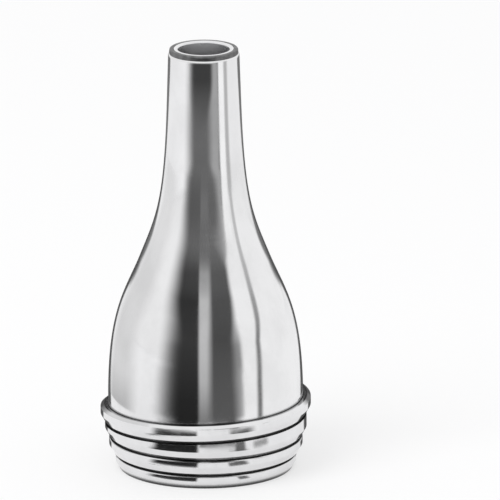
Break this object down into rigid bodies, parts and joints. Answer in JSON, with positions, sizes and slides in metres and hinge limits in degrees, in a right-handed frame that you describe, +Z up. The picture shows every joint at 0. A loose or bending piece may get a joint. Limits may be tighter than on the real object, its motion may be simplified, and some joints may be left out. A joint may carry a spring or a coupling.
{
  "type": "ear speculum",
  "caption": "Polished metal ear speculum: a bell-shaped funnel with a long narrow neck, a rounded ring at the tip and a stepped screw collar round the mouth.",
  "frame": {"origin": "centre of the mouth's flat rim, on which the speculum stands", "axes": "+Z up along the funnel's axis from the mouth to the tip; -Y is the front that the picture shows, with +X to its right"},
  "size_m": [0.018, 0.018, 0.037],
  "materials": {
    "plated_funnel": "polished",
    "plated_ring": "polished",
    "plated_collar": "polished",
    "solder": "satin"
  },
  "bodies": {
    "root": {"funnel": "plated_funnel", "tip_ring": "plated_ring", "screw_collar": "plated_collar", "tip_solder": "solder", "collar_solder": "solder"}
  },
  "joints": []
}
